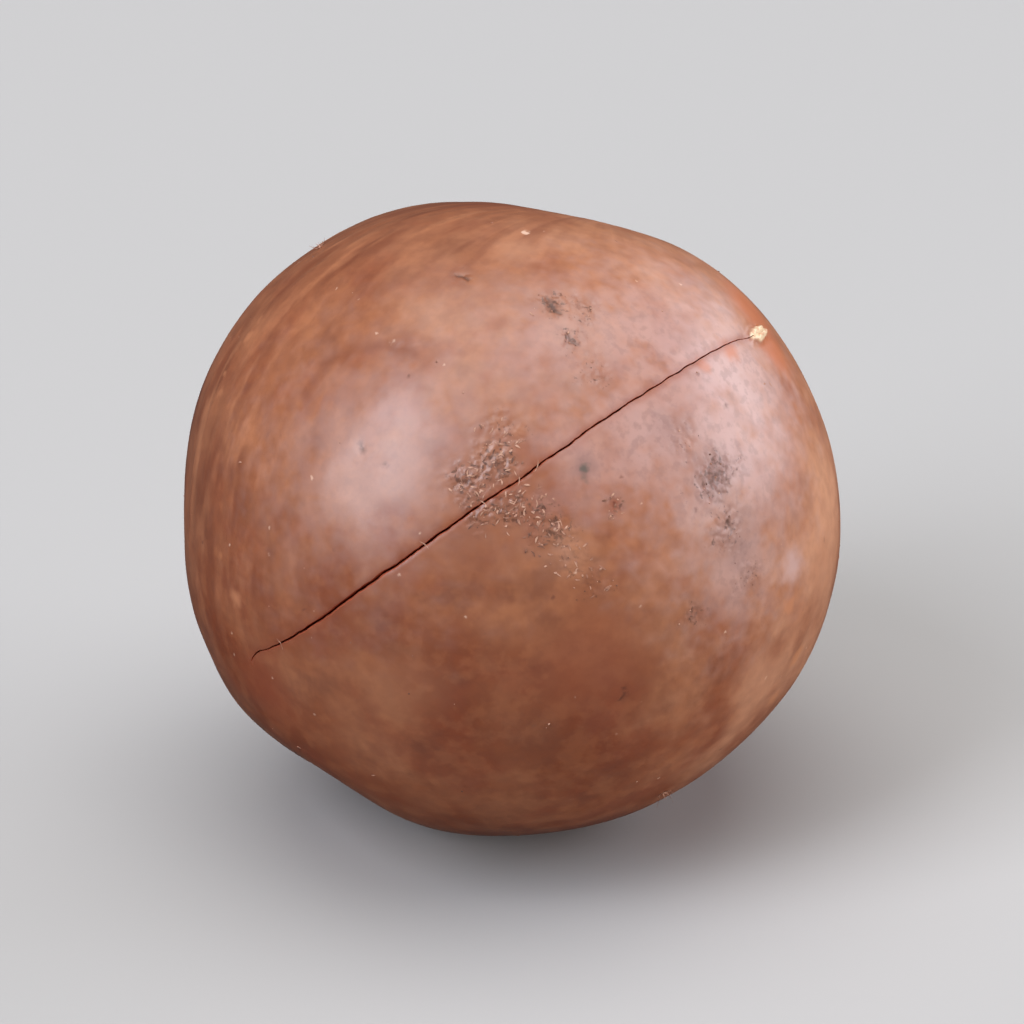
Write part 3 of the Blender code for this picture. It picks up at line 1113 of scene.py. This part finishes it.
# %% [markdown]
# ## Crumbs and fibres of husk
# The crust isn't only rough skin: loose grains and short fibres of husk stick to it, stand up and
# catch the light. A bump map can't stand up, so they are real little pieces of twenty-odd faces
# each, half sunk in the shell. They lie thickest in the middle of a patch, which a Gaussian draw
# does by itself.

# %% Where husk sticks
CRUMB_SMALL = 0.020 * MM
CRUMB_LARGE = 0.050 * MM
FIBRE_LENGTHS = (0.08 * MM, 0.30 * MM)
FIBRE_WIDTHS = (0.035 * MM, 0.075 * MM)
THINNEST_CRUST = 0.30
CLEAR_OF_SPLIT = 0.16 * MM
CLEAR_OF_SCAR = 0.3
CLEAR_OF_FLOOR = 0.15 * MM
FULL_TURN = 6.3  # in radians
BRIDGES = (-0.82, -0.25, -0.06, 0.05, 0.11)
TUFTS = (seen_at(0.475, -0.845), seen_at(-0.565, 0.805))
TUFT_LENGTH = 0.9 * MM


def is_free(way):
    """Whether husk may stick here: not in the split, on the scar or under the flat spot."""
    height = shell_middle.z + way.z * shell_radius(way) - nut_low.z
    if height < CLEAR_OF_FLOOR or (way - SCAR).length < CLEAR_OF_SCAR:
        return False
    return split_distance(way) > CLEAR_OF_SPLIT


def strewn_places(patches, count_per_patch, strays, draw):
    """Directions for husk: strays anywhere, and a cluster round each of these crusty patches."""
    found = [Vector([draw.gauss(0, 1) for _ in range(3)]).normalized() for _ in range(strays)]
    for middle, radius, strength in patches:
        for _ in range(round(count_per_patch * strength * (radius / (0.8 * MM)) ** 2)):
            drift = Vector([draw.gauss(0, 0.50 * radius / SHELL_RADIUS) for _ in range(3)])
            way = (middle + drift).normalized()
            if region_amount(way, CRUST, 0.5) > THINNEST_CRUST:
                found.append(way)
    return [way for way in found if is_free(way)]


def finish_husk(name, bm, material):
    print(name, "have", len(bm.faces), "faces")
    made = new_object(name, bm, material)
    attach(made, "root")


# %% Crumbs
def make_crumbs(name, count_per_patch, strays, seed, material):
    draw = random.Random(seed)
    bm = bmesh.new()
    for way in strewn_places(CRUST, count_per_patch, strays, draw):
        size = CRUMB_SMALL + (CRUMB_LARGE - CRUMB_SMALL) * draw.random() ** 2
        sides = (draw.uniform(0.8, 1.5), draw.uniform(0.7, 1.1), draw.uniform(0.5, 0.9), 1)
        upright = way.to_track_quat("Z", "Y").to_matrix().to_4x4()
        turn = upright @ Matrix.Rotation(draw.uniform(0, FULL_TURN), 4, "Z")
        place = Matrix.Translation(shell_middle + way * (shell_radius(way) + 0.1 * size))
        shaping = place @ turn @ Matrix.Diagonal(sides)
        bmesh.ops.create_icosphere(bm, subdivisions=1, radius=size, matrix=shaping)
    finish_husk(name, bm, material)


# %% [markdown]
# A fibre is a thin rod, laid on the shell and bent a little, with its ends drawn out thin. One
# straight rod is made and divided; each fibre is a copy of it whose corners are then set in place.
# A few lie across the split, and two small tufts stand up at the edge, as they do on the real nut.

# %% Fibres
def straight_rod():
    bm = bmesh.new()
    bmesh.ops.create_cube(bm, size=2)
    lengthwise = [e for e in bm.edges if abs(e.verts[0].co.x - e.verts[1].co.x) > 1]
    bmesh.ops.subdivide_edges(bm, edges=lengthwise, cuts=5, use_grid_fill=True)
    rod = bpy.data.meshes.new("straight_rod")
    bm.to_mesh(rod)
    bm.free()
    return rod


def add_fibre(bm, rod, way, forward, length, width, bend, lift=0.0):
    """Lays a fibre through this direction on the shell; its ends stray by bend and rise by lift."""
    sideways = way.cross(forward)
    first = len(bm.verts)
    bm.from_mesh(rod)
    bm.verts.ensure_lookup_table()
    for vert in bm.verts[first:]:
        along, across, up = vert.co
        half = width / 2 * (1 - 0.75 * along * along)
        stray = forward * (along * length / 2) + sideways * (bend * along * along + across * half)
        here = (way + stray / SHELL_RADIUS).normalized()
        radius = shell_radius(here) + (0.1 + 0.5 * up) * half + lift * along * along
        vert.co = shell_middle + here * radius


def on_split(along):
    """The direction of a place on the split's middle line."""
    across = SPLIT_NORMAL * (SPLIT_OFFSET + split_sway(along))
    return (split_outward(along) * SHELL_RADIUS + across).normalized()


def any_heading(way, draw):
    """A direction along the shell, drawn at random."""
    forward = way.orthogonal().normalized()
    forward.rotate(Matrix.Rotation(draw.uniform(0, FULL_TURN), 3, way))
    return forward


def make_fibres(name, patches, count_per_patch, strays, seed, material):
    draw = random.Random(seed)
    rod = straight_rod()
    bm = bmesh.new()
    for way in strewn_places(patches, count_per_patch, strays, draw):
        length = draw.uniform(*FIBRE_LENGTHS)
        bend = draw.uniform(-0.15, 0.15) * length
        add_fibre(bm, rod, way, any_heading(way, draw), length, draw.uniform(*FIBRE_WIDTHS), bend)
    finish_husk(name, bm, material)


def make_loose_fibres(name, seed, material):
    """The fibres that cross the split, and the tufts."""
    draw = random.Random(seed)
    rod = straight_rod()
    bm = bmesh.new()
    for along in BRIDGES:
        way = on_split(along)
        forward = (SPLIT_NORMAL - way * way.dot(SPLIT_NORMAL)).normalized()
        forward.rotate(Matrix.Rotation(draw.uniform(-0.9, 0.9), 3, way))
        add_fibre(bm, rod, way, forward, 1.6 * FIBRE_LENGTHS[1], FIBRE_WIDTHS[0], 0.05 * MM)
    for way in TUFTS:
        for _ in range(6):
            length = draw.uniform(0.4, 1.0) * TUFT_LENGTH
            heading = any_heading(way, draw)
            bend = draw.uniform(-0.4, 0.4) * length
            lift = draw.uniform(0.1, 0.5) * length
            add_fibre(bm, rod, way, heading, length, FIBRE_WIDTHS[0], bend, lift)
    finish_husk(name, bm, material)


# %% Husk in its colours
PALE_CRUMBS_PER_PATCH = 4
DARK_CRUMBS_PER_PATCH = 3
PALE_FIBRES_PER_PATCH = 18
DARK_FIBRES_PER_PATCH = 14
HUSKY_PATCHES = SPLIT_CRUST + hidden_crust
THICK_PATCHES = [patch for patch in HUSKY_PATCHES if patch[2] > 0.65]
STRAYS = 60


def paint_husk(name, first, second):
    """Matt husk whose colour drifts from one grain or fibre to the next."""
    material = bpy.data.materials.new(name)
    tree, shader = start_material(material)
    place = nut_place(tree)
    mixed = cloud_mask(tree, place, size=0.22, detail=2.0, low=0.40, high=0.60)
    tree.links.new(blend(tree, mixed, first, second), shader.inputs["Base Color"])
    shader.inputs["Roughness"].default_value = 0.62
    return material


pale_husk = paint_husk("pale_husk", linear(192, 146, 122), linear(156, 108, 86))
dark_husk = paint_husk("dark_husk", linear(104, 68, 54), linear(140, 96, 76))
make_crumbs("pale_crumbs", PALE_CRUMBS_PER_PATCH, STRAYS, SEED + 1, pale_husk)
make_crumbs("dark_crumbs", DARK_CRUMBS_PER_PATCH, STRAYS // 2, SEED + 2, dark_husk)
make_fibres("pale_fibres", HUSKY_PATCHES, PALE_FIBRES_PER_PATCH, STRAYS // 3, SEED + 3, pale_husk)
make_fibres("dark_fibres", THICK_PATCHES, DARK_FIBRES_PER_PATCH, 0, SEED + 4, dark_husk)
make_loose_fibres("loose_fibres", SEED + 5, pale_husk)

# %% [markdown]
# ## The studio
# The photograph's light is soft: a window at the front left, whose broad reflection lies on the
# left of the nut, another at the right, a weaker one behind, and the ceiling. Large area lights
# stand in for them, with a fill at the right and a low wash that brightens the right rim but isn't
# mirrored in it. The floor is plain and pale. The shell doesn't mirror it either, because it would
# wash out the deep brown of the lower half.

# %% Floor
FLOOR_SIZE = 6.0


def make_floor():
    bm = bmesh.new()
    level = Matrix.Translation((0, 0, nut_low.z - 0.02 * MM))
    bmesh.ops.create_grid(bm, x_segments=1, y_segments=1, size=FLOOR_SIZE / 2, matrix=level)
    material = bpy.data.materials.new("pale_floor")
    tree, shader = start_material(material)
    shader.inputs["Base Color"].default_value = linear(180, 178, 176)
    shader.inputs["Roughness"].default_value = 0.7
    floor = new_object("floor", bm, material)
    floor.visible_glossy = False


make_floor()


# %% Lights
DAYLIGHT = (0.94, 0.98, 1.08)


def soft_light(name, direction, distance, width, height, brightness, colour):
    """An area light that faces the nut; brightness is that of its surface."""
    data = bpy.data.lights.new(name, "AREA")
    data.shape = "RECTANGLE"
    data.size = width
    data.size_y = height
    data.energy = brightness * math.pi * width * height
    data.color = colour
    lamp = bpy.data.objects.new(name, data)
    bpy.context.scene.collection.objects.link(lamp)
    away = Vector(direction).normalized()
    lamp.location = nut_middle + away * distance
    lamp.rotation_euler = away.to_track_quat("Z", "Y").to_euler()
    return lamp


soft_light("left_window", (-0.64, -0.45, 0.62), 1.2, 0.58, 0.92, 7.4, DAYLIGHT)
soft_light("right_window", (0.90, 0.22, 0.34), 1.2, 0.90, 0.78, 3.2, DAYLIGHT)
soft_light("right_fill", (0.92, -0.36, 0.15), 1.2, 0.80, 0.34, 2.0, (1, 1, 1))
soft_light("back_window", (0.60, 0.72, 0.32), 1.2, 0.62, 0.56, 1.5, DAYLIGHT)
soft_light("ceiling", (0.0, 0.0, 1.0), 1.2, 1.2, 1.2, 2.9, (1, 1, 1))
wash = soft_light("right_wash", (1.0, -0.12, 0.10), 1.2, 0.80, 0.24, 12.0, (1, 1, 1))
wash.visible_glossy = False

world = bpy.data.worlds.new("studio")
bpy.context.scene.world = world
world.use_nodes = True
world.node_tree.nodes["Background"].inputs["Color"].default_value = (1.0, 0.98, 0.96, 1)
world.node_tree.nodes["Background"].inputs["Strength"].default_value = 0.06
bpy.context.scene.view_settings.view_transform = "Standard"
bpy.context.scene.view_settings.look = "None"
